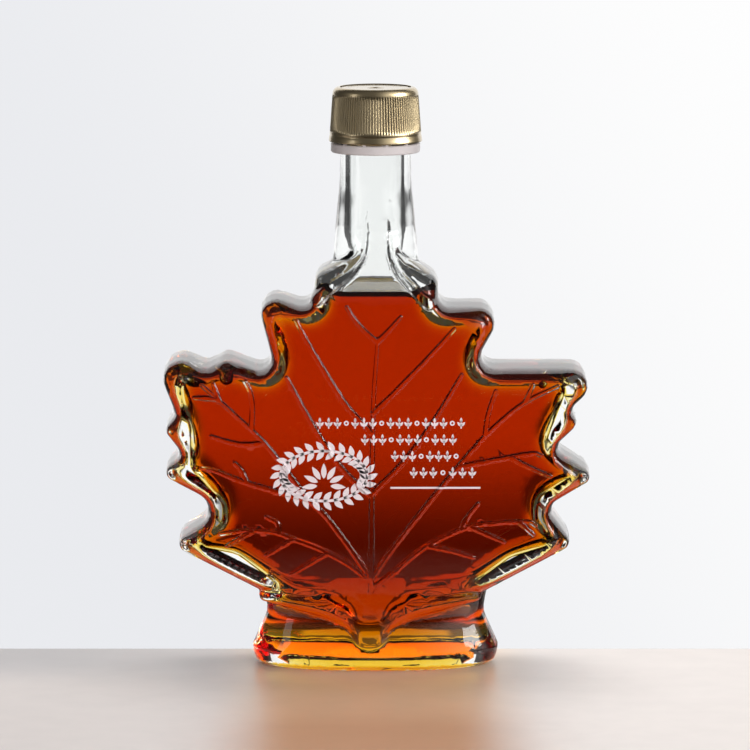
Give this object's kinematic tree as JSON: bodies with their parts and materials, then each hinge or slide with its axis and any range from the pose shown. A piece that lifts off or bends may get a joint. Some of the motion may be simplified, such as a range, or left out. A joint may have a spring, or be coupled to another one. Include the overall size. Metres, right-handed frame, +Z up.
{
  "type": "etched maple syrup bottle",
  "caption": "Maple-leaf shaped clear glass bottle on an oval foot, filled with amber syrup, with a ribbed gold screw cap and a tamper band.",
  "frame": {"origin": "centre of the bottle's foot on the surface it stands on", "axes": "+Z up along the neck, +X to the right across the leaf, -Y out of the front of the leaf"},
  "size_m": [0.1291, 0.0392, 0.1755],
  "materials": {
    "clear_glass": "clear polished flint glass",
    "maple_syrup": "clear amber-red syrup",
    "gold_cap": "satin gold",
    "milky_plastic": "translucent milky white"
  },
  "bodies": {
    "root": {"bottle": "clear_glass", "syrup": "maple_syrup", "cap": "gold_cap", "tamper_band": "milky_plastic"}
  },
  "joints": []
}
